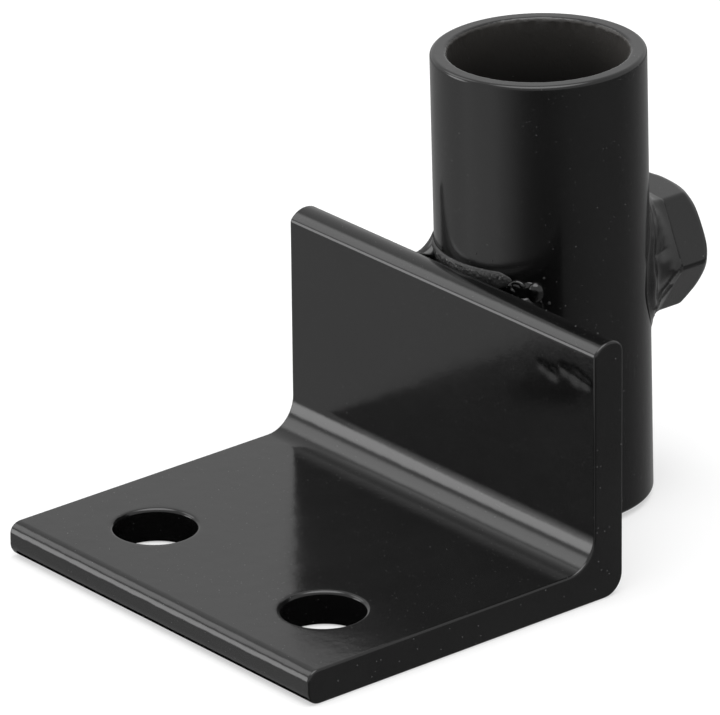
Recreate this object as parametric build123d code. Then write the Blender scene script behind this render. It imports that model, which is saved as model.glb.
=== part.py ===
from build123d import *
import os
from math import cos, radians, sin, sqrt, tan

# A welded pole bracket in black paint. A short length of rolled unequal angle is the base and the
# upright, a piece of round tube is the pole socket, and a thin hex nut on the socket takes a set screw.
# +X runs along the angle, +Y from the base's toe to the heel, +Z up. The origin is on the underside,
# midway between the two bolt holes. Lengths are in millimetres and angles in degrees.

# Rolled angle
angle_length = 88.9
base_leg = 76.9
upright_leg = 52.0
stock = 7.0
root_radius = 6.4
heel_radius = 4.4
toe_radius = 2.4
toe_under_radius = 2.9
crown_front_drop = 2.0
crown_back_drop = 1.3
crown_from_back = 3.2
crown_front_radius = 1.3
crown_back_radius = 2.6
cut_edge_radius = 0.5

# Bolt holes in the base
bolt_hole_diameter = 15.9
bolt_hole_spacing = 49.8
bolt_hole_count = 2
bolt_line_from_toe = 20.0
bolt_hole_edge_radius = 0.8

# Pole socket
socket_outside = 41.3
socket_wall = 3.4
socket_length = 89.8
socket_lean = 1.4
socket_off_middle = 1.0
rim_edge_radius = 0.8

# Set screw nut
nut_across_flats = 23.8
nut_thickness = 10.9
nut_corner_radius = 0.8
nut_bore_diameter = 13.4
nut_bore_chamfer = 1.0
nut_face_share = 0.99
nut_chamfer_angle = 40.0
nut_height = 43.6
nut_turn = 5.0
nut_seat_gap = 0.05
screw_hole_diameter = 16.4

# Weld beads
seam_plate_reach = 16.0
seam_tube_angle = 50.0
seam_hollow = 1.1
seam_foot = 4.0
bead_line = 50.8
seam_root_gap = 0.6
left_seam_rise = 1.8
right_seam_drop = 0.6
bead_end_radius = 2.3
bead_end_angles = (36.0, 45.0)
top_bead_radius = 1.4
top_bead_rise = 0.4
top_bead_from = -34.0
top_bead_to = 27.0
nut_weld_side_reach = 17.8
nut_weld_end_reach = 16.8
nut_weld_height = 4.2

# Worked out from the sizes above
toe_y = -bolt_line_from_toe
heel_y = base_leg - bolt_line_from_toe
socket_radius = socket_outside / 2
bore_radius = socket_radius - socket_wall
nut_face_radius = nut_across_flats * nut_face_share / 2
nut_corner_reach = nut_across_flats / sqrt(3)
lean = radians(socket_lean)

# The socket stands with the low side of its foot level with the base's underside.
socket_frame = Plane(
    origin=(-socket_off_middle, heel_y + socket_radius, socket_radius * sin(lean)),
    x_dir=(cos(lean), 0, sin(lean)),
    z_dir=(-sin(lean), 0, cos(lean)),
)

# The nut's frame lies on the socket's far side, with its Z pointing straight away from the upright.
nut_frame = Plane(
    origin=socket_frame.from_local_coords((0, socket_radius + nut_seat_gap, nut_height)),
    x_dir=socket_frame.x_dir,
    z_dir=socket_frame.y_dir,
)


def socket_solid(reach):
    """The socket's outside as a full cylinder, longer than the tube by reach at each end."""
    height = socket_length + 2 * reach
    return socket_frame * Pos(0, 0, -reach) * Cylinder(
        socket_radius, height, align=(Align.CENTER, Align.CENTER, Align.MIN)
    )


def socket_middle_x(height):
    """Where the leaning socket's axis is along X at a height."""
    return -socket_off_middle - (height - socket_radius * sin(lean)) * sin(lean) / cos(lean)


def angle_profile():
    """The section as rolled: a crowned upright, then each corner gets its own radius."""
    back_of_crown = (heel_y, upright_leg - crown_back_drop)
    front_of_crown = (heel_y - stock, upright_leg - crown_front_drop)
    outline = Polyline(
        front_of_crown,
        (heel_y - stock, stock),
        (toe_y, stock),
        (toe_y, 0),
        (heel_y, 0),
        back_of_crown,
    )
    outline += ThreePointArc(back_of_crown, (heel_y - crown_from_back, upright_leg), front_of_crown)
    section = make_face(Plane.YZ * outline)
    radii = {
        (toe_y, 0): toe_under_radius,
        (heel_y, 0): heel_radius,
        back_of_crown: crown_back_radius,
        front_of_crown: crown_front_radius,
        (heel_y - stock, stock): root_radius,
        (toe_y, stock): toe_radius,
    }
    for (y, z), radius in radii.items():
        corner = section.vertices().sort_by_distance(Vector(0, y, z))[0]
        section = section.face().fillet_2d(radius, [corner])
    return section


def bolt_hole_centres():
    """The hole line runs along X with its middle at the origin."""
    first = -bolt_hole_spacing * (bolt_hole_count - 1) / 2
    return [(first + bolt_hole_spacing * step, 0) for step in range(bolt_hole_count)]


def make_angle():
    """The length of angle with eased cut ends and the two bolt holes."""
    body = extrude(angle_profile(), amount=angle_length / 2, both=True)
    ends = [edge for edge in body.edges() if abs(abs(edge.center().X) - angle_length / 2) < 1e-6]
    body = fillet(ends, cut_edge_radius)
    for x, y in bolt_hole_centres():
        hole = Pos(x, y, stock / 2) * Cylinder(bolt_hole_diameter / 2, stock * 2)
        body -= hole
    rims = [
        edge
        for edge in body.edges().filter_by(GeomType.CIRCLE)
        if abs(edge.radius - bolt_hole_diameter / 2) < 1e-6
    ]
    return fillet(rims, bolt_hole_edge_radius)


def screw_hole():
    """The clear hole behind the nut, through one wall of the socket."""
    depth = socket_wall * 2
    return nut_frame * Pos(0, 0, -depth) * Cylinder(
        screw_hole_diameter / 2, depth * 2, align=(Align.CENTER, Align.CENTER, Align.MIN)
    )


def make_socket():
    """The pole socket, open at both ends, with the paint's soft edges on its rims."""
    outside = Cylinder(socket_radius, socket_length, align=(Align.CENTER, Align.CENTER, Align.MIN))
    bore = Cylinder(bore_radius, socket_length, align=(Align.CENTER, Align.CENTER, Align.MIN))
    tube = outside - bore
    rims = [
        edge
        for edge in tube.edges().filter_by(GeomType.CIRCLE)
        if abs(edge.center().Z) < 1e-6 or abs(edge.center().Z - socket_length) < 1e-6
    ]
    return socket_frame * fillet(rims, rim_edge_radius) - screw_hole()


def hexagon(across_flats):
    """A hexagon with a corner on X before the nut's own turn."""
    return Rot(0, 0, nut_turn) * RegularPolygon(across_flats / 2, 6, major_radius=False)


def make_nut():
    """A thin hex nut, chamfered on both faces, bored to its thread's inside size."""
    blank = extrude(hexagon(nut_across_flats), amount=nut_thickness)
    corners = [edge for edge in blank.edges().filter_by(Axis.Z)]
    blank = fillet(corners, nut_corner_radius)
    drop = (nut_corner_reach - nut_face_radius) * tan(radians(nut_chamfer_angle))
    turned = make_face(
        Plane.XZ
        * Polyline(
            (0, 0),
            (nut_face_radius, 0),
            (nut_corner_reach, drop),
            (nut_corner_reach, nut_thickness - drop),
            (nut_face_radius, nut_thickness),
            (0, nut_thickness),
            close=True,
        )
    )
    blank &= revolve(turned, Axis.Z)
    bore = Cylinder(nut_bore_diameter / 2, nut_thickness * 3)
    blank -= bore
    mouths = [
        edge
        for edge in blank.edges().filter_by(GeomType.CIRCLE)
        if abs(edge.radius - nut_bore_diameter / 2) < 1e-6
    ]
    return nut_frame * chamfer(mouths, nut_bore_chamfer)


def seam_section(side, height):
    """The bead's section in the groove between the upright's back and the socket."""
    middle = socket_middle_x(height)
    turn = radians(seam_tube_angle)
    on_plate = (middle + side * seam_plate_reach, heel_y)
    on_tube = (
        middle + side * socket_radius * sin(turn),
        heel_y + socket_radius * (1 - cos(turn)),
    )
    inside = (middle + side * seam_root_gap, heel_y + socket_radius / 2)
    root = (middle + side * seam_root_gap, heel_y)
    bulge = (
        (on_plate[0] + on_tube[0]) / 2 - side * seam_hollow,
        (on_plate[1] + on_tube[1]) / 2,
    )
    edges = [
        ThreePointArc(on_plate, bulge, on_tube),
        Line(on_tube, inside),
        Line(inside, root),
        Line(root, on_plate),
    ]
    return make_face(edges)


def seam_weld(side, top, angle, socket):
    """A fillet bead that follows the leaning socket up the back of the upright."""
    foot = Pos(0, 0, seam_foot) * seam_section(side, seam_foot)
    head = Pos(0, 0, top) * seam_section(side, top)
    bead = loft([foot, head])
    return bead - socket - angle


def make_left_seam_weld(angle, socket):
    """The left bead rises into the groove behind the crown and slopes off towards its outer side."""
    bead = seam_weld(-1, bead_line + left_seam_rise, angle, socket)
    outer = socket_middle_x(bead_line) - seam_plate_reach - left_seam_rise
    inner = socket_middle_x(bead_line) - socket_radius / 2
    high = bead_line + left_seam_rise * 2
    slope = make_face(
        Plane.XZ
        * Polyline(
            (outer, bead_line - left_seam_rise),
            (inner, bead_line + left_seam_rise),
            (inner, high),
            (outer, high),
            close=True,
        )
    )
    above = Pos(0, heel_y, 0) * extrude(slope, amount=socket_radius * 2, both=True)
    return bead - above


def make_right_seam_weld(angle, socket):
    """The right bead stops just under the top edge in two rounded drops."""
    bead = seam_weld(1, bead_line - right_seam_drop - bead_end_radius / 2, angle, socket)
    for turn in bead_end_angles:
        middle = socket_middle_x(bead_line)
        reach = socket_radius + bead_end_radius / 2
        x = middle + reach * sin(radians(turn))
        y = heel_y + socket_radius - reach * cos(radians(turn))
        height = bead_line - right_seam_drop - bead_end_radius * turn / max(bead_end_angles)
        bead += Pos(x, y, height) * Sphere(bead_end_radius)
    return bead - socket - angle


def make_top_weld(angle, socket, side_beads):
    """The thin bead along the upright's top edge, across the line where the socket touches it."""
    height = bead_line + top_bead_rise
    centre = (socket_middle_x(height), heel_y + socket_radius, height)
    facing_upright = Plane(origin=centre, x_dir=(0, -1, 0))
    path = facing_upright * CenterArc((0, 0), socket_radius, top_bead_from, top_bead_to - top_bead_from)
    start = path @ 0
    section = Plane(origin=start, z_dir=path % 0) * Circle(top_bead_radius)
    bead = sweep(section, path=path)
    for end in (path @ 0, path @ 1):
        bead += Pos(*end) * Sphere(top_bead_radius)
    bead -= socket
    bead -= angle
    for other in side_beads:
        bead -= other
    return largest_solid(bead)


def make_nut_weld(socket):
    """A broad fillet bead around the nut, lying on the round of the socket."""
    depth = socket_radius - sqrt(socket_radius**2 - nut_weld_side_reach**2)
    top_reach = nut_corner_reach - nut_corner_radius
    spread = (depth + nut_weld_height) / nut_weld_height
    foot_reach = top_reach + (nut_weld_end_reach - top_reach) * spread
    foot = Pos(0, 0, -depth) * Ellipse(nut_weld_side_reach, foot_reach)
    head = Pos(0, 0, nut_weld_height) * Circle(top_reach)
    bead = nut_frame * loft([foot, head])
    under_nut = nut_frame * Pos(0, 0, -depth) * Cylinder(
        nut_face_radius, depth + nut_thickness, align=(Align.CENTER, Align.CENTER, Align.MIN)
    )
    return bead - socket - under_nut - nut_frame * extrude(hexagon(nut_across_flats), amount=nut_thickness)


def largest_solid(shape):
    """The one solid that counts where a cut leaves slivers beside it."""
    return shape.solids().sort_by(SortBy.VOLUME)[-1]


angle = make_angle()
full_socket = socket_solid(1)
left_seam = largest_solid(make_left_seam_weld(angle, full_socket))
right_seam = largest_solid(make_right_seam_weld(angle, full_socket))

parts = {
    "angle": angle,
    "pole_socket": make_socket(),
    "set_screw_nut": make_nut(),
    "left_seam_weld": left_seam,
    "right_seam_weld": right_seam,
    "top_weld": make_top_weld(angle, full_socket, [left_seam, right_seam]),
    "nut_weld": largest_solid(make_nut_weld(full_socket)),
}

os.makedirs("parts", exist_ok=True)
for name, shape in parts.items():
    shape.label = name
    export_step(shape, f"parts/{name}.step")
    box = shape.bounding_box()
    print(name, round(shape.volume), [round(v, 1) for v in (*box.min, *box.max)])
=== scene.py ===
from math import atan2, ceil, cos, pi, radians, sin, sqrt, tan

import bmesh
import bpy
import numpy as np
from mathutils import Matrix, Vector, noise


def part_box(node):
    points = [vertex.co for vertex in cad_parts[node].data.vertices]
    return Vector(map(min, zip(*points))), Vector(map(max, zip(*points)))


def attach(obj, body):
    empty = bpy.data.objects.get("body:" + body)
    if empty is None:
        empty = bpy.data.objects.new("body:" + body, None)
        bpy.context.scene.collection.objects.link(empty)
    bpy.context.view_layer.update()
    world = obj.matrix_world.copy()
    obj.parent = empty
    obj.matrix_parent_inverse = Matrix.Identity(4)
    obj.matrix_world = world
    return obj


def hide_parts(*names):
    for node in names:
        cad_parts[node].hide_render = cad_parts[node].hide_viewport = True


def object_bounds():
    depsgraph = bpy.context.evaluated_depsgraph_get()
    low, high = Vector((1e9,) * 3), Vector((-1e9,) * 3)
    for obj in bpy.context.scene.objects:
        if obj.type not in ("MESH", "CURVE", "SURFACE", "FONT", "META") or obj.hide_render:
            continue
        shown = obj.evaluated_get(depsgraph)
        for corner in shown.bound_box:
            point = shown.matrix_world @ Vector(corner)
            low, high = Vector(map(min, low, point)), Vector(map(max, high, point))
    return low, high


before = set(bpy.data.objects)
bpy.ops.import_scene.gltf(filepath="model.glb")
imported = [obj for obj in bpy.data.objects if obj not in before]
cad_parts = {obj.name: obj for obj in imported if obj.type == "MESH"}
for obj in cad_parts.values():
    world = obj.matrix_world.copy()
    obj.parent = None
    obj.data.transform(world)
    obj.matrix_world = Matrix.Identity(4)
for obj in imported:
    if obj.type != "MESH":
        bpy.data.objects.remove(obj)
cad_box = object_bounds()

MM = 0.001

# Rolled angle. All sizes are in millimetres, read from the frame where it shows them
angle_low, angle_high = (np.array(corner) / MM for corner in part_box("angle"))
angle_length = angle_high[0] - angle_low[0]
toe_y = angle_low[1]
heel_y = angle_high[1]
upright_leg = angle_high[2]
stock = 7.0
root_radius = 6.4
heel_radius = 4.4
toe_radius = 2.4
toe_under_radius = 2.9
crown_front_drop = 2.0
crown_back_drop = 1.3
crown_from_back = 3.2
crown_front_radius = 1.3
crown_back_radius = 2.6
cut_edge_radius = 0.5
bolt_hole_radius = 15.9 / 2
bolt_hole_spacing = 49.8
bolt_hole_edge_radius = 0.8

# Pole socket
socket_radius = 41.3 / 2
bore_radius = socket_radius - 3.4
socket_length = 89.8
socket_lean = radians(1.4)
socket_off_middle = 1.0
rim_edge_radius = 0.8

# Set screw nut, with the screw hole behind it
nut_across_flats = 23.8
nut_thickness = 10.9
nut_corner_radius = 0.8
nut_face_radius = nut_across_flats / 2 * 0.99
nut_chamfer_slope = tan(radians(40))
nut_bore_radius = 13.4 / 2
nut_bore_chamfer = 1.0
nut_height = 43.6
nut_turn = radians(5)
nut_seat_gap = 0.05
screw_hole_radius = 16.4 / 2
thread_pitch = 25.4 / 11
thread_depth = 1.1

# Weld beads
bead_line = 50.8
seam_foot = 4.0
seam_plate_reach = 16.0
seam_tube_angle = radians(50)
ripple_pitch = 2.2
nut_weld_side_reach = 17.8
nut_weld_end_reach = 16.4
seam_end_length = 2.4
seam_end_depth = 2.4

# The nut's bead: how far up the nut it grips, the point that pulls its sides in, its ridge and scallops
nut_weld_grip = 3.3
nut_weld_extra_grip = 0.5
nut_weld_pull = np.array((12.9, -2.0))
nut_weld_ridge = 0.7
scallop_pace = 3.5
scallop_turn = radians(15)

# The grainy band over the upright's edge. Its ends are in degrees round the socket
band_from = -47.0
band_to = 33.0
band_below = 1.5
band_above = 1.9
band_thickness = 0.6
skin_per_degree = 0.36

# Paint: how far its skin lies under the plain form, and the height of its slow wave
skin_depth = 0.012
skin_wave = 0.010

# Steps of the meshes round edges and corners
arc_steps = 12
rim_steps = 8
cut_edge_steps = 6
nut_edge_steps = 5

# Points of the meshes round the nut and its bead, and along and across the other beads
nut_columns = 288
nut_weld_columns = 400
nut_weld_rows = 26
seam_rows = 150
seam_columns = 19
band_columns = 260
band_rows = 26

# Slack when places are compared
tiny = 1e-6

# The socket's own directions and the middle of its foot
socket_up = np.array((-sin(socket_lean), 0, cos(socket_lean)))
socket_side = np.array((cos(socket_lean), 0, sin(socket_lean)))
socket_out = np.array((0, 1, 0))
socket_foot = np.array((-socket_off_middle, heel_y + socket_radius, socket_radius * sin(socket_lean)))

# Camera, fitted to the photograph
image_width = 720
focal_pixels = 8908.2
camera_azimuth = radians(50.214)
camera_elevation = radians(23.284)
camera_roll = radians(-0.618)
camera_distance = 1674.6 * MM
camera_target = Vector((0.20, 30.02, 41.36)) * MM


def camera_axes():
    """The camera's right, up and backward directions."""
    back = Vector((
        sin(camera_azimuth) * cos(camera_elevation),
        -cos(camera_azimuth) * cos(camera_elevation),
        sin(camera_elevation),
    ))
    level = Vector((cos(camera_azimuth), sin(camera_azimuth), 0))
    above = back.cross(level)
    right = level * cos(camera_roll) + above * sin(camera_roll)
    up = above * cos(camera_roll) - level * sin(camera_roll)
    return right, up, back


def add_camera():
    """A long lens from far off, as in the photograph."""
    data = bpy.data.cameras.new("camera")
    data.sensor_width = 36
    data.lens = focal_pixels * data.sensor_width / image_width
    data.clip_end = 20
    camera = bpy.data.objects.new("camera", data)
    right, up, back = camera_axes()
    place = Matrix((right, up, back)).transposed().to_4x4()
    place.translation = camera_target + back * camera_distance
    camera.matrix_world = place
    bpy.context.scene.collection.objects.link(camera)
    bpy.context.scene.camera = camera


class Nodes:
    """Short ways to add and join shader nodes in one material or world."""

    def __init__(self, tree):
        self.tree = tree
        self.tree.nodes.clear()

    def add(self, kind, inputs=None, **settings):
        node = self.tree.nodes.new(kind)
        for key, value in settings.items():
            setattr(node, key, value)
        for key, value in (inputs or {}).items():
            self.put(node, key, value)
        return node

    def put(self, node, key, value):
        if isinstance(value, bpy.types.NodeSocket):
            self.tree.links.new(value, node.inputs[key])
        else:
            node.inputs[key].default_value = value

    def math(self, operation, first, second=0.0, third=0.0):
        node = self.add("ShaderNodeMath", operation=operation)
        for index, value in enumerate((first, second, third)):
            self.put(node, index, value)
        return node.outputs[0]

    def ramp(self, value, stops, ease="LINEAR"):
        node = self.add("ShaderNodeValToRGB")
        self.put(node, "Fac", value)
        node.color_ramp.interpolation = ease
        elements = node.color_ramp.elements
        while len(elements) < len(stops):
            elements.new(0.5)
        for element, (place, level) in zip(elements, stops):
            element.position = place
            element.color = (level, level, level, 1)
        return node.outputs[0]

    def smooth(self, value, low, high, bottom=0.0, top=1.0):
        inputs = {"Value": value, "From Min": low, "From Max": high, "To Min": bottom, "To Max": top}
        return self.add("ShaderNodeMapRange", inputs, interpolation_type="SMOOTHSTEP").outputs[0]

    def finish(self, kind, surface):
        output = self.add(kind)
        self.tree.links.new(surface, output.inputs["Surface"])


def new_material(name):
    material = bpy.data.materials.new(name)
    material.use_nodes = True
    return material, Nodes(material.node_tree)


def specks(n, place, scale, size, share):
    """Rare round specks: 1 inside one, 0 elsewhere."""
    cells = n.add("ShaderNodeTexVoronoi", {"Vector": place, "Scale": scale, "Randomness": 1.0})
    chance = n.add("ShaderNodeSeparateColor", {"Color": cells.outputs["Color"]}).outputs[0]
    near = n.math("LESS_THAN", cells.outputs["Distance"], size)
    chosen = n.math("GREATER_THAN", chance, 1.0 - share)
    return n.math("MULTIPLY", near, chosen)


def paint(name, colour, roughness, peel, dust, grit=0.0):
    """Gloss black paint: a slow wave in the coat, fine orange peel, and specks of dust."""
    material, n = new_material(name)
    place = n.add("ShaderNodeTexCoord").outputs["Object"]
    wave = n.add("ShaderNodeTexNoise", {"Vector": place, "Scale": 220.0, "Detail": 2.0, "Roughness": 0.5})
    grain = n.add("ShaderNodeTexNoise", {"Vector": place, "Scale": 2600.0, "Detail": 2.0, "Roughness": 0.6})
    sand = n.add("ShaderNodeTexNoise", {"Vector": place, "Scale": 1500.0, "Detail": 3.0, "Roughness": 0.7})
    fine = specks(n, place, 2200.0, 0.16, dust)
    coarse = specks(n, place, 900.0, 0.10, dust * 0.8)
    dots = n.math("MAXIMUM", fine, coarse)
    peel_height = n.math("MULTIPLY", grain.outputs["Fac"], 0.10)
    height = n.math("MULTIPLY_ADD", wave.outputs["Fac"], 0.6, peel_height)
    height = n.math("MULTIPLY_ADD", sand.outputs["Fac"], grit, height)
    height = n.math("MULTIPLY_ADD", dots, 0.3, height)
    bump = n.add("ShaderNodeBump", {"Strength": peel, "Distance": 0.00012, "Height": height})
    shade = n.add("ShaderNodeTexNoise", {"Vector": place, "Scale": 55.0, "Detail": 3.0})
    tone = n.ramp(shade.outputs["Fac"], [(0.35, colour * 0.8), (0.65, colour * 1.2)])
    tone = n.math("MULTIPLY_ADD", dots, 0.10, tone)
    rough = n.ramp(shade.outputs["Fac"], [(0.3, roughness * 0.9), (0.7, roughness * 1.1)])
    surface = n.add("ShaderNodeBsdfPrincipled", {
        "Base Color": tone, "Roughness": rough, "IOR": 1.55, "Normal": bump.outputs["Normal"],
    })
    n.finish("ShaderNodeOutputMaterial", surface.outputs[0])
    return material


def grainy_paint():
    """The thin coat over fine weld grains, dull and speckled with light grains that are partly painted
    glints.
    """
    material, n = new_material("paint_grainy_weld")
    place = n.add("ShaderNodeTexCoord").outputs["Object"]
    grain = n.add("ShaderNodeTexNoise", {"Vector": place, "Scale": 3200.0, "Detail": 3.0, "Roughness": 0.7})
    cloud = n.add("ShaderNodeTexNoise", {"Vector": place, "Scale": 500.0, "Detail": 3.0})
    # Light specks: raised grains whose light colour is partly a painted glint
    grains_and_glints = specks(n, place, 2600.0, 0.30, 0.10)
    tone = n.ramp(cloud.outputs["Fac"], [(0.35, 0.018), (0.65, 0.034)])
    tone = n.math("MULTIPLY_ADD", grains_and_glints, 0.16, tone)
    height = n.math("MULTIPLY_ADD", grains_and_glints, 0.5, grain.outputs["Fac"])
    bump = n.add("ShaderNodeBump", {"Strength": 0.6, "Distance": 0.00012, "Height": height})
    surface = n.add("ShaderNodeBsdfPrincipled", {
        "Base Color": tone, "Roughness": 0.42, "IOR": 1.5, "Normal": bump.outputs["Normal"],
    })
    n.finish("ShaderNodeOutputMaterial", surface.outputs[0])
    return material


def bore_coat_and_painted_shade():
    """The thin, rough, dark brownish grey coat inside the socket, with painted shade deeper in and towards
    -X.
    """
    material, n = new_material("coat_and_painted_shade_inside_socket")
    place = n.add("ShaderNodeTexCoord").outputs["Object"]
    grain = n.add("ShaderNodeTexNoise", {"Vector": place, "Scale": 900.0, "Detail": 4.0, "Roughness": 0.7})
    cloud = n.add("ShaderNodeTexNoise", {"Vector": place, "Scale": 120.0, "Detail": 3.0})
    x, y, z = n.add("ShaderNodeSeparateXYZ", {"Vector": place}).outputs
    mixed = n.add("ShaderNodeMixRGB", {
        "Fac": cloud.outputs["Fac"], "Color1": (0.030, 0.028, 0.026, 1), "Color2": (0.050, 0.047, 0.043, 1),
    })
    # Painted shade and light: the colour darkens deeper down the bore and lightens towards its +X side
    depth = n.smooth(z, (socket_length - 16) * MM, socket_length * MM, 0.25, 1.1)
    side = n.smooth(x, -bore_radius * MM, bore_radius * MM, 0.7, 1.6)
    painted_shade = n.math("MULTIPLY", depth, side)
    tone = n.add("ShaderNodeVectorMath", {0: mixed.outputs[0], "Scale": painted_shade}, operation="SCALE").outputs[0]
    dots = specks(n, place, 1500.0, 0.12, 0.05)
    light = n.math("MULTIPLY", dots, 0.15)
    tone = n.add("ShaderNodeVectorMath", {0: tone, 1: light}, operation="ADD").outputs[0]
    bump = n.add("ShaderNodeBump", {"Strength": 0.5, "Distance": 0.00015, "Height": grain.outputs["Fac"]})
    surface = n.add("ShaderNodeBsdfPrincipled", {
        "Base Color": tone, "Roughness": 0.45, "IOR": 1.5, "Normal": bump.outputs["Normal"],
    })
    n.finish("ShaderNodeOutputMaterial", surface.outputs[0])
    return material


class Shape:
    """Points and faces of one piece, in millimetres, gathered before its mesh is made."""

    def __init__(self):
        self.points = []
        self.faces = []
        self.slots = []

    def add_points(self, points):
        """Adds an array of points and returns their numbers in the same layout."""
        points = np.asarray(points, float)
        first = len(self.points)
        self.points.extend(points.reshape(-1, 3))
        return np.arange(first, first + points.size // 3).reshape(points.shape[:-1])

    def add_face(self, numbers, slot=0):
        self.faces.append([int(number) for number in numbers])
        self.slots.append(slot)

    def add_grid(self, ids, wrap=False, skip=()):
        """Quads over a grid of point numbers. Skip names the cells that are left open."""
        rows, columns = ids.shape
        for i in range(rows - 1):
            for j in range(columns if wrap else columns - 1):
                if (i, j) in skip:
                    continue
                k = (j + 1) % columns
                self.add_face((ids[i, j], ids[i, k], ids[i + 1, k], ids[i + 1, j]))

    def add_ball(self, centre, size, turn=0.0, bumps=0.0, rings=10):
        """An ellipsoid drop of weld or spatter, turned about Z, with an uneven skin."""
        heights = np.linspace(-pi / 2, pi / 2, rings)
        around = np.linspace(0, 2 * pi, rings * 2, endpoint=False)
        grid = np.empty((rings, rings * 2, 3))
        for i, height in enumerate(heights):
            for j, angle in enumerate(around):
                way = np.array((cos(height) * cos(angle), cos(height) * sin(angle), sin(height)))
                swell = 1 + bumps * noise.noise(Vector(way * 1.7) + Vector(centre))
                local = way * size * swell
                grid[i, j] = np.array(centre) + (
                    local[0] * cos(turn) - local[1] * sin(turn),
                    local[0] * sin(turn) + local[1] * cos(turn),
                    local[2],
                )
        ids = self.add_points(grid[1:-1])
        self.add_grid(ids, wrap=True)
        for row, pole in ((ids[0], grid[0, 0]), (ids[-1], grid[-1, 0])):
            tip = self.add_points([pole])[0]
            for j in range(len(row)):
                self.add_face((row[j], row[(j + 1) % len(row)], tip))

    def make(self, name, materials, node):
        """Makes the finished piece, which stands for a CAD node and rides on the one body."""
        mesh = bpy.data.meshes.new(name)
        mesh.from_pydata([tuple(point * MM) for point in self.points], [], self.faces)
        for material in materials:
            mesh.materials.append(material)
        mesh.polygons.foreach_set("material_index", self.slots)
        mesh.polygons.foreach_set("use_smooth", [True] * len(mesh.polygons))
        work = bmesh.new()
        work.from_mesh(mesh)
        bmesh.ops.recalc_face_normals(work, faces=work.faces)
        work.to_mesh(mesh)
        work.free()
        piece = bpy.data.objects.new(name, mesh)
        bpy.context.scene.collection.objects.link(piece)
        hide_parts(node)
        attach(piece, "root")


def stations(start, end, step, edge=0.15):
    """Places from start to end about a step apart, with a close pair at each end."""
    way = 1 if end > start else -1
    span = abs(end - start)
    if span < edge * 3:
        return [start, end]
    inner = np.linspace(start + way * edge, end - way * edge, max(2, ceil((span - 2 * edge) / step) + 1))
    return [start, *inner, end]


def even(start, end, step):
    return list(np.linspace(start, end, round(abs(end - start) / step) + 1))


def lumps(point, scale, size):
    """Smooth uneven value at a place, from -size to size."""
    return size * noise.noise(Vector(point) / scale)


# Finer mesh in a block around each hole
hole_block = 12.0
hole_step = 0.75


def corner_arc(centre, radius, start, turn):
    """Points and outward normals round one corner. A root's normals point to its centre."""
    rows = []
    hollow = turn < 0
    for step in range(arc_steps + 1):
        angle = start + turn * step / arc_steps
        way = np.array((cos(angle), sin(angle)))
        rows.append((np.array(centre) + way * radius, -way if hollow else way))
    return rows


def flat(points, normal):
    return [(np.array(point), np.array(normal)) for point in points]


def crown_circle():
    """Centre and radius of the circle over the upright's top, in (y, z)."""
    front = (heel_y - stock, upright_leg - crown_front_drop)
    middle = (heel_y - crown_from_back, upright_leg)
    back = (heel_y, upright_leg - crown_back_drop)
    rows = [(2 * y, 2 * z, 1.0) for y, z in (front, middle, back)]
    sums = [y * y + z * z for y, z in (front, middle, back)]
    y, z, rest = np.linalg.solve(rows, sums)
    return np.array((y, z)), sqrt(rest + y * y + z * z)


def under_crown(y, radius):
    """The centre of a corner circle at y that lies against the inside of the crown."""
    centre, crown_radius = crown_circle()
    rise = sqrt((crown_radius - radius) ** 2 - (y - centre[0]) ** 2)
    return np.array((y, centre[1] + rise)), atan2(rise, y - centre[0])


def angle_section():
    """The rolled section in (y, z), once round, as points with outward normals."""
    back_of_leg = heel_y
    front_of_leg = heel_y - stock
    inner = (front_of_leg - root_radius, stock + root_radius)
    crown, crown_radius = crown_circle()
    back_corner, back_turn = under_crown(back_of_leg - crown_back_radius, crown_back_radius)
    front_corner, front_turn = under_crown(front_of_leg + crown_front_radius, crown_front_radius)
    under = stations(toe_y + toe_under_radius, -hole_block, 1.0)[:-1]
    under += even(-hole_block, hole_block, hole_step)
    under += stations(hole_block, heel_y - heel_radius, 1.2)[1:]
    back = stations(heel_radius, back_corner[1], 1.2)
    front = stations(front_corner[1], inner[1], 0.55)
    base = stations(inner[0], hole_block, 1.0)[:-1]
    base += even(hole_block, -hole_block, hole_step)
    base += stations(-hole_block, toe_y + toe_radius, 0.8)[1:]
    nose = stations(stock - toe_radius, toe_under_radius, 0.4)
    rows = flat([(y, 0) for y in under], (0, -1))
    rows += corner_arc((heel_y - heel_radius, heel_radius), heel_radius, -pi / 2, pi / 2)
    rows += flat([(back_of_leg, z) for z in back], (1, 0))
    rows += corner_arc(back_corner, crown_back_radius, 0, back_turn)
    rows += corner_arc(crown, crown_radius, back_turn, front_turn - back_turn)
    rows += corner_arc(front_corner, crown_front_radius, front_turn, pi - front_turn)
    rows += flat([(front_of_leg, z) for z in front], (-1, 0))
    rows += corner_arc(inner, root_radius, 0, -pi / 2)
    rows += flat([(y, stock) for y in base], (0, 1))
    rows += corner_arc((toe_y + toe_radius, stock - toe_radius), toe_radius, pi / 2, pi / 2)
    rows += flat([(toe_y, z) for z in nose], (-1, 0))
    rows += corner_arc((toe_y + toe_under_radius, toe_under_radius), toe_under_radius, pi, pi / 2)
    kept = []
    for row in rows:
        if not kept or np.linalg.norm(row[0] - kept[-1][0]) > 1e-4:
            kept.append(row)
    if np.linalg.norm(kept[0][0] - kept[-1][0]) < 1e-4:
        kept.pop()
    return np.array([row[0] for row in kept]), np.array([row[1] for row in kept])


def angle_stations():
    """Places along X with the inset of the eased ends: (x, inset)."""
    half = angle_length / 2
    near = bolt_hole_spacing / 2 - hole_block
    far = bolt_hole_spacing / 2 + hole_block
    right = stations(0, near, 1.0)[:-1] + even(near, far, hole_step)
    right += stations(far, half - cut_edge_radius, 0.6)[1:]
    rows = [(x, 0.0) for x in right]
    for step in range(1, cut_edge_steps + 1):
        angle = pi / 2 * step / cut_edge_steps
        along = half - cut_edge_radius + cut_edge_radius * sin(angle)
        rows.append((along, cut_edge_radius * (1 - cos(angle))))
    left = [(-x, inset) for x, inset in rows[:0:-1]]
    return left + rows


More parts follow.
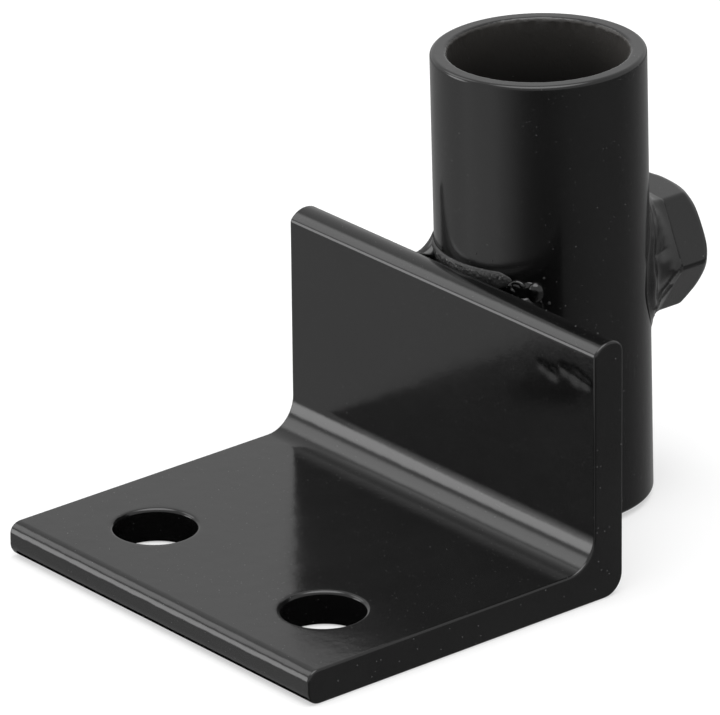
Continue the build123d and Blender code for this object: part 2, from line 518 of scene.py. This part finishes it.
# Dents on the front of the upright, near its top right corner: (x, z, radius, depth)
dents = [
    (29.4, 43.6, 1.1, 0.10),
    (32.5, 43.0, 1.4, 0.14),
    (35.6, 44.8, 1.2, 0.12),
    (39.0, 44.3, 1.5, 0.18),
    (41.9, 43.8, 1.1, 0.14),
]


def angle_wear(point, normal):
    """How far the painted skin lies under the plain form at a place."""
    sunk = skin_depth + lumps(point, 9.0, skin_wave)
    if normal[0] < -0.9 and point[2] > stock + root_radius:
        for x, z, radius, depth in dents:
            reach = ((point[0] - x) ** 2 + ((point[2] - z) * 1.3) ** 2) / radius ** 2
            sunk += depth * np.exp(-reach)
    if point[1] < toe_y + toe_radius and point[2] > 1.0:
        sunk += 0.03 + lumps(point, 1.3, 0.035)
    return sunk


def hole_columns(ids, rows, columns):
    """Point numbers round a block of a grid, once round."""
    ring = [(rows[0], j) for j in range(columns[0], columns[1])]
    ring += [(i, columns[1]) for i in range(rows[0], rows[1])]
    ring += [(rows[1], j) for j in range(columns[1], columns[0], -1)]
    ring += [(i, columns[0]) for i in range(rows[1], rows[0], -1)]
    return [ids[i, j % ids.shape[1]] for i, j in ring]


def add_bolt_hole(shape, upper, lower, centre):
    """Joins the openings left in both skins by a hole with rounded, slightly uneven rims."""
    reach_steps = 6
    rim = bolt_hole_edge_radius
    columns = []
    for number in upper:
        edge = shape.points[number]
        way = np.array((edge[0] - centre, edge[1]))
        reach = np.linalg.norm(way)
        way /= reach
        path = []
        wobble = lumps((way[0] * 2 + centre, way[1] * 2, 0), 1.0, 0.10)
        bore = bolt_hole_radius + wobble * 0.4
        start = bore + rim
        for step in range(1, reach_steps):
            share = (step / reach_steps) ** 0.8
            out = reach + (start + 0.15 - reach) * share
            path.append((*(way * out), edge[2]))
        for step in range(rim_steps + 1):
            turn = pi / 2 * step / rim_steps
            path.append((*(way * (start - rim * sin(turn))), stock - rim + rim * cos(turn) - skin_depth))
        for height in even(stock - rim, rim, 0.6)[1:-1]:
            path.append((*(way * bore), height))
        for step in range(rim_steps + 1):
            turn = pi / 2 * (1 - step / rim_steps)
            path.append((*(way * (start - rim * sin(turn))), rim - rim * cos(turn) + skin_depth))
        for step in range(reach_steps - 1, 0, -1):
            share = (step / reach_steps) ** 0.8
            out = reach + (start + 0.15 - reach) * share
            path.append((*(way * out), skin_depth))
        columns.append([(x + centre, y, z) for x, y, z in path])
    ids = shape.add_points(np.array(columns))
    whole = np.column_stack([np.array(upper), ids, np.array(lower)])
    shape.add_grid(np.vstack([whole, whole[:1]]))


def nearest(places, point):
    """The key of a table of places that lies closest to a point."""
    keys = list(places)
    gaps = [(key[0] - point[0]) ** 2 + (key[1] - point[1]) ** 2 for key in keys]
    return keys[int(np.argmin(gaps))]


def make_angle():
    """The length of angle with worn paint, dents, eased ends and two bolt holes."""
    section, normals = angle_section()
    places = angle_stations()
    grid = np.empty((len(places), len(section), 3))
    for i, (x, inset) in enumerate(places):
        for j, (point, normal) in enumerate(zip(section, normals)):
            y, z = point - normal * inset
            sunk = angle_wear((x, y, z), normal)
            grid[i, j] = (x, y - normal[0] * sunk, z - normal[1] * sunk)
    shape = Shape()
    ids = shape.add_points(grid)
    xs = np.array([x for x, inset in places])
    in_block = [j for j in range(len(section)) if abs(section[j][0]) <= hole_block + tiny]
    under = [j for j in in_block if normals[j][1] < -0.99]
    over = [j for j in in_block if section[j][1] == stock]
    skip = set()
    blocks = []
    for centre in (-bolt_hole_spacing / 2, bolt_hole_spacing / 2):
        rows = [int(np.argmin(abs(xs - edge))) for edge in (centre - hole_block, centre + hole_block)]
        skip |= {(i, j) for i in range(*rows) for j in range(under[0], under[-1])}
        skip |= {(i, j) for i in range(*rows) for j in range(over[0], over[-1])}
        blocks.append((rows, centre))
    shape.add_grid(ids, wrap=True, skip=skip)
    for rows, centre in blocks:
        upper = hole_columns(ids, rows, (over[0], over[-1]))
        lower = hole_columns(ids, rows, (under[0], under[-1]))
        order = {tuple(np.round(shape.points[number][:2], 2)): number for number in lower}
        lower = [order[nearest(order, shape.points[number][:2])] for number in upper]
        add_bolt_hole(shape, upper, lower, centre)
    shape.add_face(ids[0])
    shape.add_face(ids[-1])
    shape.make("angle_body", [paints["angle"]], "angle")


def on_socket(angle, height, reach):
    """A point in the row frame. The angle is from the socket's far side towards +X."""
    side = socket_side * (reach * sin(angle))
    out = socket_out * (reach * cos(angle))
    return socket_foot + socket_up * height + side + out


# Finer mesh around the screw hole, and steps up the wall and round it
screw_block_angle = radians(36)
screw_block_height = 12.0
wall_step = 1.5
turn_step = radians(1.0)
# Where the bore's rough coat starts, in steps round the rim's inner edge
coat_from_step = 5


def socket_section():
    """The wall's section once round: rows of (radius, height, slot)."""
    low = nut_height - screw_block_height
    high = nut_height + screw_block_height
    rim = rim_edge_radius
    wall = stations(rim, low, wall_step)[:-1] + even(low, high, hole_step)
    wall += stations(high, socket_length - rim, wall_step)[1:]
    rows = [(socket_radius, z, 0) for z in wall]
    for step in range(1, rim_steps + 1):
        turn = pi / 2 * step / rim_steps
        rows.append((socket_radius - rim + rim * cos(turn), socket_length - rim + rim * sin(turn), 0))
    for r in stations(socket_radius - rim, bore_radius + rim, 0.4)[1:-1]:
        rows.append((r, socket_length, 0))
    for step in range(rim_steps):
        turn = pi / 2 * step / rim_steps
        slot = 0 if step < coat_from_step else 1
        rows.append((bore_radius + rim - rim * sin(turn), socket_length - rim + rim * cos(turn), slot))
    rows += [(bore_radius, z, 1) for z in wall[::-1]]
    for step in range(1, rim_steps + 1):
        turn = pi / 2 * step / rim_steps
        rows.append((bore_radius + rim - rim * cos(turn), rim - rim * sin(turn), 0))
    for r in stations(bore_radius + rim, socket_radius - rim, 0.4)[1:-1]:
        rows.append((r, 0.0, 0))
    for step in range(rim_steps):
        turn = pi / 2 * step / rim_steps
        rows.append((socket_radius - rim + rim * sin(turn), rim - rim * cos(turn), 0))
    return rows


def rim_wear(angle, radius, height):
    """The rough inner edge at the socket's top, and a faint wave elsewhere."""
    place = (sin(angle) * radius, cos(angle) * radius, height)
    near_top = height > socket_length - rim_edge_radius * 1.6
    if near_top and radius < bore_radius + rim_edge_radius * 1.4:
        return 0.06 + lumps(place, 0.7, 0.10) + lumps(place, 2.6, 0.06)
    return skin_depth + lumps(place, 11.0, skin_wave)


def make_socket():
    """The tube, with its screw hole behind the nut."""
    rows = socket_section()
    around = np.arange(-pi, pi - turn_step / 2, turn_step)
    middle = (socket_radius + bore_radius) / 2
    grid = np.empty((len(around), len(rows), 3))
    for i, angle in enumerate(around):
        for j, (radius, height, slot) in enumerate(rows):
            sunk = rim_wear(angle, radius, height)
            reach = radius - sunk if radius > middle else radius + sunk
            grid[i, j] = on_socket(angle, height, reach)
    shape = Shape()
    ids = shape.add_points(grid)
    first = int(np.argmin(abs(around + screw_block_angle)))
    last = int(np.argmin(abs(around - screw_block_angle)))
    heights = np.array([height for radius, height, slot in rows])
    radii = np.array([radius for radius, height, slot in rows])
    inside_block = abs(heights - nut_height) <= screw_block_height + tiny
    outer = np.where(inside_block & (radii == socket_radius))[0]
    inner = np.where(inside_block & (radii == bore_radius))[0]
    skip = {(i, j) for i in range(first, last) for j in range(outer[0], outer[-1])}
    skip |= {(i, j) for i in range(first, last) for j in range(inner[0], inner[-1])}
    closed = np.vstack([ids, ids[:1]])
    for i in range(len(closed) - 1):
        for j in range(len(rows)):
            if (i, j) in skip:
                continue
            k = (j + 1) % len(rows)
            slot = max(rows[j][2], rows[k][2])
            shape.add_face((closed[i, j], closed[i, k], closed[i + 1, k], closed[i + 1, j]), slot)
    upper = hole_columns(ids, (first, last), (outer[0], outer[-1]))
    lower = hole_columns(ids, (first, last), (inner[0], inner[-1]))
    add_screw_hole(shape, upper, matching(shape, upper, lower))
    shape.make("socket_tube", [paints["pole_socket"], paints["bore"]], "pole_socket")


def nut_place(point):
    """A point's place across and up from the nut's axis."""
    local = np.asarray(point) - socket_foot - socket_up * nut_height
    return local @ socket_side, local @ socket_up


def matching(shape, upper, lower):
    """The inner ring's numbers in the order of the outer ring, by direction from the nut's axis."""
    ways = {}
    for number in lower:
        u, v = nut_place(shape.points[number])
        ways[number] = (u / bore_radius * socket_radius, v)
    ordered = []
    for number in upper:
        u, v = nut_place(shape.points[number])
        ordered.append(min(ways, key=lambda other: (ways[other][0] - u) ** 2 + (ways[other][1] - v) ** 2))
    return ordered


def wall_point(u, v, radius):
    """A point on the socket's far wall, u across and v up from the nut's axis."""
    return on_socket(atan2(u, sqrt(radius ** 2 - u ** 2)), nut_height + v, radius)


def add_screw_hole(shape, upper, lower):
    """Joins the openings left in the socket's two walls by the clear hole of the set screw."""
    columns = []
    for above, below in zip(upper, lower):
        start = np.array(nut_place(shape.points[above]))
        end = np.array(nut_place(shape.points[below]))
        way = start / np.linalg.norm(start)
        rim = way * screw_hole_radius
        path = []
        for share in (0.25, 0.5, 0.75, 0.95, 1.0):
            u, v = start + (rim - start) * share
            path.append(wall_point(u, v, socket_radius - skin_depth))
        for share in (0.05, 0.35, 0.65, 0.95, 1.0):
            radius = socket_radius + (bore_radius - socket_radius) * share
            path.append(wall_point(*rim, radius))
        for share in (0.05, 0.25, 0.5, 0.75):
            u, v = rim + (end - rim) * share
            path.append(wall_point(u, v, bore_radius + skin_depth))
        columns.append(path)
    ids = shape.add_points(np.array(columns))
    whole = np.column_stack([np.array(upper), ids, np.array(lower)])
    shape.add_grid(np.vstack([whole, whole[:1]]))


def soft_min(first, second, blend):
    """The smaller of two values, rounded where they meet."""
    share = max(blend - abs(first - second), 0) / blend
    return min(first, second) - share * share * blend / 4


def hex_reach(angle):
    """From the nut's axis to its rounded hexagon, in a direction."""
    off = (angle + nut_turn + pi / 6) % (pi / 3) - pi / 6
    flat_one = nut_across_flats / 2 / cos(pi / 6 - off)
    flat_two = nut_across_flats / 2 / cos(pi / 6 + off)
    return soft_min(flat_one, flat_two, nut_corner_radius)


# How far the nut's chamfers are rounded into its flats, and the ease of its two outer edges
chamfer_blend = 0.9
nut_edge = 0.35
# Half the share of the thread's pitch that its groove takes
groove_half = 0.42


def nut_reach(angle, depth):
    """From the axis to the nut's skin at a depth from its near face, with the chamfers."""
    hexagon = hex_reach(angle)
    far = nut_face_radius + (nut_thickness - depth) / nut_chamfer_slope
    near = nut_face_radius + depth / nut_chamfer_slope
    return soft_min(soft_min(hexagon, far, chamfer_blend), near, chamfer_blend)


def thread_reach(angle, depth):
    """The bore's radius with a helical groove cut into it."""
    phase = (depth / thread_pitch - angle / (2 * pi)) % 1
    groove = max(0.0, 1 - abs(phase - 0.5) / groove_half)
    fade = min(1.0, depth / nut_bore_chamfer, (nut_thickness - depth) / nut_bore_chamfer)
    return nut_bore_radius + thread_depth * groove * max(fade, 0)


def nut_point(u, v, w):
    """A point in the row frame: u across, v up, w out from the nut's near face."""
    seat = socket_foot + socket_up * nut_height + socket_out * (socket_radius + nut_seat_gap)
    return seat + socket_side * u + socket_up * v + socket_out * w


def nut_column(angle):
    """The nut's section in one direction, once round, as (reach, depth)."""
    ease = nut_edge
    rows = []
    for depth in stations(ease, nut_thickness - ease, 0.35):
        rows.append((nut_reach(angle, depth) - 0.01, depth))
    edge = rows[-1][0]
    for step in range(1, nut_edge_steps + 1):
        turn = pi / 2 * step / nut_edge_steps
        rows.append((edge - ease * 1.2 * (1 - cos(turn)), nut_thickness - ease + ease * sin(turn)))
    mouth = nut_bore_radius + nut_bore_chamfer
    start = rows[-1][0]
    rows += [(start + (mouth - start) * share, nut_thickness) for share in (0.1, 0.4, 0.7, 0.95)]
    rows.append((mouth, nut_thickness - 0.05))
    for depth in even(nut_thickness - nut_bore_chamfer, nut_bore_chamfer, 0.19):
        rows.append((thread_reach(angle, depth), depth))
    rows.append((mouth, 0.05))
    near_edge = nut_reach(angle, ease) - 0.01 - ease * 1.2
    rows += [(mouth + (near_edge - mouth) * share, 0.0) for share in (0.05, 0.3, 0.6, 0.9)]
    for step in range(nut_edge_steps):
        turn = pi / 2 * step / nut_edge_steps
        rows.append((near_edge + ease * 1.2 * sin(turn), ease - ease * cos(turn)))
    return rows


def make_nut():
    """The thin hex nut with turned chamfers, softened corners and its thread."""
    around = np.linspace(0, 2 * pi, nut_columns, endpoint=False)
    grid = []
    for angle in around:
        column = nut_column(angle)
        grid.append([nut_point(reach * cos(angle), reach * sin(angle), depth) for reach, depth in column])
    shape = Shape()
    ids = shape.add_points(np.array(grid))
    shape.add_grid(np.vstack([ids, ids[:1]]), wrap=True)
    shape.make("set_screw_nut_body", [paints["set_screw_nut"]], "set_screw_nut")


def socket_depth(u):
    """How far the socket's skin lies behind the nut's near face at a distance across."""
    return sqrt(max(socket_radius ** 2 - u ** 2, 0)) - socket_radius - nut_seat_gap


# Thin strings of weld on the nut's bead, each from and to (direction in degrees, share of the way down),
# the size of a degree and of the whole way in millimetres, and a string's width and height
weld_strings = [
    ((-22.0, 0.80), (-14.0, 0.30)),
    ((-14.0, 0.30), (0.0, 0.05)),
    ((-52.0, 0.55), (-24.0, 0.10)),
]
string_scale = np.array((0.26, 8.0))
string_width = 0.26
string_tall = 0.42


def string_height(angle, share):
    """How high a thin string of weld stands at a place on the nut's bead."""
    tall = 0.0
    here = np.array((degrees_of(angle), share)) * string_scale
    for start, end in weld_strings:
        first = np.array(start) * string_scale
        way = np.array(end) * string_scale - first
        along = np.clip((here - first) @ way / (way @ way), 0, 1)
        gap = np.linalg.norm(here - first - along * way)
        tall = max(tall, string_tall * np.exp(-((gap / string_width) ** 2)))
    return tall


def degrees_of(angle):
    """An angle in degrees from -180 to 180."""
    return (angle * 180 / pi + 180) % 360 - 180


def nut_weld_column(angle):
    """The bead's section in one direction: from the nut down to the socket, then back under."""
    side = cos(angle) ** 2
    grip = nut_weld_grip + nut_weld_extra_grip * (1 - side)
    grip += lumps((cos(angle) * 2, sin(angle) * 2, 5), 1.0, 0.3)
    top = np.array((nut_reach(angle, grip) + 0.02, grip))
    foot_reach = nut_weld_side_reach * side + nut_weld_end_reach * (1 - side)
    foot_reach += 0.5 * (1 - side) * side * 4 + lumps((cos(angle) * 3, sin(angle) * 3, 9), 1.0, 0.35)
    foot_depth = socket_depth(foot_reach * abs(cos(angle)))
    foot = np.array((foot_reach, foot_depth))
    hollow = np.array((top[0] + 0.9, socket_depth(14.0 * abs(cos(angle))) + 1.2))
    pull = hollow * (1 - side) + nut_weld_pull * side
    scallop = abs(sin((angle - scallop_turn) * scallop_pace)) ** 0.7 - 0.6
    rows = []
    for share in np.linspace(0, 1, nut_weld_rows):
        point = top * (1 - share) ** 2 + pull * 2 * share * (1 - share) + foot * share ** 2
        uneven = lumps((cos(angle) * 6, sin(angle) * 6, share * 5), 1.0, 0.25)
        swell = sin(pi * share ** 1.6) * (0.6 * scallop + uneven)
        ridge = side * nut_weld_ridge * np.exp(-(((share - 0.8) / 0.1) ** 2))
        swell += string_height(angle, share) + ridge
        way = foot - top
        across = np.array((-way[1], way[0])) / np.linalg.norm(way)
        if across[0] < 0:
            across = -across
        rows.append(point + across * swell)
    inner_reach = nut_face_radius * 0.96
    rows.append(np.array((foot_reach * 0.93, socket_depth(foot_reach * 0.93 * abs(cos(angle))) + 0.02)))
    rows.append(np.array((inner_reach, socket_depth(inner_reach * abs(cos(angle))) + 0.02)))
    rows.append(np.array((inner_reach, -0.02)))
    rows.append(np.array((nut_reach(angle, grip * 0.5) + 0.01, grip * 0.5)))
    return rows


def make_nut_weld():
    """The bead round the nut, uneven, with its scallops, its ridge by the tube and its strings."""
    around = np.linspace(0, 2 * pi, nut_weld_columns, endpoint=False)
    grid = []
    for angle in around:
        column = nut_weld_column(angle)
        grid.append([nut_point(reach * cos(angle), reach * sin(angle), depth) for reach, depth in column])
    shape = Shape()
    ids = shape.add_points(np.array(grid))
    shape.add_grid(np.vstack([ids, ids[:1]]), wrap=True)
    shape.make("nut_weld_bead", [paints["weld"]], "nut_weld")


def seam_point(side, share, height, swell):
    """A point of a seam bead's skin: share 0 on the upright's back, 1 on the socket."""
    middle = socket_foot[0] - (height - socket_foot[2]) * tan(socket_lean)
    on_plate = np.array((middle + side * seam_plate_reach, heel_y))
    on_tube = np.array((
        middle + side * socket_radius * sin(seam_tube_angle),
        heel_y + socket_radius * (1 - cos(seam_tube_angle)),
    ))
    corner = np.array((middle + side * seam_plate_reach * 0.62, heel_y + 1.2))
    flat_way = on_plate * (1 - share) + on_tube * share
    curved = on_plate * (1 - share) ** 2 + corner * 2 * share * (1 - share) + on_tube * share ** 2
    skin = flat_way * 0.45 + curved * 0.55
    way = np.array((side * 0.6, 0.8))
    skin = skin + way * swell
    return np.array((skin[0], skin[1], height))


def seam_swell(side, share, height):
    """Ripples across a seam bead, curved like the pool they froze in."""
    phase = (height + 1.1 * (share - 0.5) ** 2 * 4) / ripple_pitch
    ripple = abs(sin(pi * phase)) ** 0.8
    edge = sin(pi * share) ** 0.5
    return edge * (0.35 * ripple - 0.2 + lumps((side * 3, share * 2, height), 3.0, 0.2))


def seam_shape(side, top_at_plate, top_at_tube):
    """A fillet bead up the back of the upright, with ripples and rounded ends."""
    shares = np.linspace(0.0, 1.0, seam_columns)
    tops = top_at_plate + (top_at_tube - top_at_plate) * shares ** 1.4
    grid = np.empty((seam_rows, len(shares), 3))
    for i in range(seam_rows):
        part = i / (seam_rows - 1)
        end_gap = min(part, 1 - part) * (bead_line - seam_foot)
        pinch = sqrt(max(0.0, 1 - (1 - min(end_gap / seam_end_length, 1)) ** 2))
        for j, share in enumerate(shares):
            height = seam_foot + (tops[j] - seam_foot) * part
            skin = seam_point(side, share, height, seam_swell(side, share, height) * pinch)
            root = seam_point(side, share, height, -seam_end_depth)
            grid[i, j] = root * (1 - pinch) + skin * pinch
    shape = Shape()
    ids = shape.add_points(grid)
    shape.add_grid(ids)
    roots = np.empty((seam_rows, 3, 3))
    for i in range(seam_rows):
        height = grid[i, len(shares) // 2, 2]
        middle = socket_foot[0] - (height - socket_foot[2]) * tan(socket_lean)
        reach = seam_plate_reach * 0.55
        gap = socket_radius - sqrt(socket_radius ** 2 - reach ** 2)
        roots[i] = (
            (middle + side * seam_plate_reach * 0.98, heel_y + 0.02, grid[i, 0, 2]),
            (middle + side * reach, heel_y + gap * 0.5, height),
            (middle + side * socket_radius * sin(seam_tube_angle) * 0.985,
             heel_y + socket_radius * (1 - cos(seam_tube_angle * 0.97)) - 0.02, grid[i, -1, 2]),
        )
    root_ids = shape.add_points(roots)
    shape.add_grid(np.column_stack([ids[:, 0], root_ids, ids[:, -1]]))
    for row in (0, -1):
        shape.add_face([*ids[row], *root_ids[row][::-1]])
    return shape


def front_of_socket(theta, height, lift):
    """A point by the socket's near side: theta in degrees from the contact line towards +X."""
    return on_socket(pi - radians(theta), height - socket_foot[2], socket_radius + lift)


def make_left_seam():
    """The left bead, which climbs the tube above the upright's top edge."""
    shape = seam_shape(-1, bead_line - 0.9, bead_line + 1.9)
    shape.make("left_seam_bead", [paints["weld"]], "left_seam_weld")


def add_crater(shape, theta, height, ring, thickness):
    """A broken bubble in the bead: a small ring that lies on the socket."""
    rows = []
    for a in np.linspace(0, 2 * pi, 40, endpoint=False):
        row = []
        swell = thickness * (1 + 0.25 * sin(a * 2 + 0.6) + 0.12 * sin(a * 5))
        for b in np.linspace(0, 2 * pi, 14, endpoint=False):
            reach = ring + swell * cos(b)
            turn = reach * cos(a) / socket_radius * 180 / pi
            row.append(front_of_socket(theta + turn, height + reach * sin(a) * 0.8, 0.15 + swell * sin(b)))
        rows.append(row)
    ids = shape.add_points(np.array(rows))
    shape.add_grid(np.vstack([ids, ids[:1]]), wrap=True)


def make_right_seam():
    """The right bead ends in a broken bubble and a drop, just under the upright's top edge."""
    shape = seam_shape(1, bead_line - 3.4, bead_line - 2.4)
    shape.add_ball(front_of_socket(39.0, bead_line - 1.7, -0.3), (3.3, 0.9, 1.9), radians(39), 0.25, 16)
    add_crater(shape, 35.5, bead_line - 0.8, 1.25, 0.5)
    shape.add_ball(front_of_socket(45.5, bead_line - 1.8, 0.1), (1.65, 1.3, 2.05), radians(45), 0.05, 26)
    shape.make("right_seam_bead", [paints["weld"]], "right_seam_weld")


# Spatter on the socket as (angle from the contact line, height, radius), and on the leg as (x, y, radius)
spatter = [
    (50.0, 51.9, 0.22),
    (52.5, 46.8, 0.30),
    (61.0, 46.0, 0.16),
    (22.0, 54.6, 0.14),
    (12.0, 55.4, 0.12),
]
leg_spatter = [(34.4, 53.9, 0.22), (39.6, 54.8, 0.18), (25.0, 54.9, 0.14)]


def make_top_weld():
    """The thin, grainy bead along the upright's top edge, with the spatter thrown from it."""
    shape = Shape()
    low, high = bead_line - band_below, bead_line + band_above
    rows = []
    for theta in np.linspace(band_from, band_to, band_columns):
        fade = max(min(1.0, (band_to - theta) / 7.0, (theta - band_from) / 3.0), 0.02) ** 0.5
        row = []
        for b in np.linspace(0, pi, band_rows):
            height = (low + high) / 2 - (high - low) / 2 * fade * cos(b)
            bulge = sin(b) ** 0.8 * band_thickness * fade
            place = (theta * skin_per_degree, height, b)
            grain = lumps(place, 0.45, 0.16) + lumps(place, 1.6, 0.12)
            row.append(front_of_socket(theta, height, 0.01 + bulge * (1 + grain * 1.6)))
        row.append(front_of_socket(theta, (low + high) / 2, -0.03))
        rows.append(row)
    ids = shape.add_points(np.array(rows))
    shape.add_grid(ids, wrap=True)
    shape.add_face(ids[0])
    shape.add_face(ids[-1])
    for theta, height, radius in spatter:
        shape.add_ball(front_of_socket(theta, height, radius * 0.3), (radius,) * 3, 0.0, 0.3, 8)
    for x, y, radius in leg_spatter:
        shape.add_ball((x, y, upright_leg - radius * 0.7), (radius,) * 3, 0.0, 0.3, 8)
    shape.make("top_weld_bead", [paints["grains"]], "top_weld")


def studio_white(name, colour, lift):
    """A matt white floor. The camera sees it lifted towards white, its shadow kept."""
    material, n = new_material(name)
    matt = n.add("ShaderNodeBsdfDiffuse", {"Color": (colour, colour, colour, 1)})
    glow = n.add("ShaderNodeEmission", {"Color": (1, 1, 1, 1), "Strength": 1.0})
    seen = n.math("MULTIPLY", n.add("ShaderNodeLightPath").outputs["Is Camera Ray"], lift)
    mix = n.add("ShaderNodeMixShader", {0: seen, 1: matt.outputs[0], 2: glow.outputs[0]})
    n.finish("ShaderNodeOutputMaterial", mix.outputs[0])
    return material


def add_floor():
    """A white floor that the bracket stands on. Its mirror image comes from the world's lower half."""
    half = 3.0
    mesh = bpy.data.meshes.new("floor")
    corners = [(-half, -half, 0), (half, -half, 0), (half, half, 0), (-half, half, 0)]
    mesh.from_pydata(corners, [], [(0, 1, 2, 3)])
    mesh.materials.append(studio_white("floor_white", 0.95, 0.5))
    floor = bpy.data.objects.new("floor", mesh)
    bpy.context.scene.collection.objects.link(floor)
    floor.location.z = cad_box[0][2] - 0.00005
    floor.visible_glossy = False


def add_painted_shade_card():
    """A black card under the base: painted shade for the dark space there, which only the paint inside the
    bolt holes mirrors.
    """
    x0, y0, x1, y1 = (value * MM for value in (angle_low[0], toe_y, angle_high[0], heel_y))
    mesh = bpy.data.meshes.new("painted_shade_under_base")
    mesh.from_pydata([(x0, y0, 0), (x1, y0, 0), (x1, y1, 0), (x0, y1, 0)], [], [(0, 1, 2, 3)])
    material, n = new_material("black_painted_shade")
    matt = n.add("ShaderNodeBsdfDiffuse", {"Color": (0, 0, 0, 1)})
    n.finish("ShaderNodeOutputMaterial", matt.outputs[0])
    mesh.materials.append(material)
    card = bpy.data.objects.new("painted_shade_under_base", mesh)
    bpy.context.scene.collection.objects.link(card)
    card.location.z = cad_box[0][2] - 0.00004
    card.visible_camera = False
    card.visible_diffuse = False
    card.visible_shadow = False
    card.visible_transmission = False


# The studio below the horizon, as (direction in degrees from +X, brightness)
low_studio = [
    (-180, 0.50), (-160, 0.58), (-141, 0.72), (-125, 0.95), (-110, 1.30), (-92, 1.05),
    (-74, 0.66), (-58, 0.26), (-40, 0.14), (-22, 0.18), (-8, 0.27), (25, 0.34),
    (45, 0.28), (73, 0.28), (105, 0.40), (140, 0.45), (180, 0.50),
]
# Soft boxes above it, as (direction, angle of the full part, angle where it ends, brightness)
soft_boxes = [
    ((-0.70, -0.30, 0.64), 9.0, 20.0, 2.1),
    ((-0.70, -0.70, 0.10), 10.0, 17.0, 4.0),
    ((0.10, -0.10, 0.99), 18.0, 34.0, 4.0),
]
high_studio = 1.0
studio_level = 0.72


def add_world():
    """A studio all round: a white tent above, greys below that the paint mirrors, and soft boxes."""
    world = bpy.data.worlds.new("world")
    bpy.context.scene.world = world
    world.use_nodes = True
    n = Nodes(world.node_tree)
    way = n.add("ShaderNodeTexCoord").outputs["Generated"]
    x, y, z = n.add("ShaderNodeSeparateXYZ", {"Vector": way}).outputs
    turn = n.math("MULTIPLY_ADD", n.math("ARCTAN2", y, x), 1 / (2 * pi), 0.5)
    low = n.ramp(turn, [((degrees + 180) / 360, level) for degrees, level in low_studio], "B_SPLINE")
    level = n.math("MULTIPLY_ADD", n.math("SUBTRACT", high_studio, low), n.smooth(z, -0.15, 0.12), low)
    for direction, full, end, strength in soft_boxes:
        aim = tuple(Vector(direction).normalized())
        near = n.add("ShaderNodeVectorMath", {0: way, 1: aim}, operation="DOT_PRODUCT").outputs["Value"]
        level = n.math("ADD", level, n.smooth(near, cos(radians(end)), cos(radians(full)), 0.0, strength))
    level = n.math("MULTIPLY", level, studio_level)
    glow = n.add("ShaderNodeBackground", {"Color": (1, 1, 1, 1), "Strength": level})
    n.finish("ShaderNodeOutputWorld", glow.outputs[0])


black = 0.003
paints = {
    "angle": paint("paint_angle", black, roughness=0.14, peel=0.55, dust=0.05),
    "pole_socket": paint("paint_socket", black, roughness=0.14, peel=0.5, dust=0.05),
    "set_screw_nut": paint("paint_nut", black, roughness=0.12, peel=0.3, dust=0.03),
    "weld": paint("paint_weld", black, roughness=0.15, peel=0.5, dust=0.04, grit=0.15),
    "bore": bore_coat_and_painted_shade(),
    "grains": grainy_paint(),
}
make_angle()
make_socket()
make_nut()
make_nut_weld()
make_left_seam()
make_right_seam()
make_top_weld()

add_camera()
add_floor()
add_painted_shade_card()
add_world()
bpy.context.scene.view_settings.view_transform = "Standard"
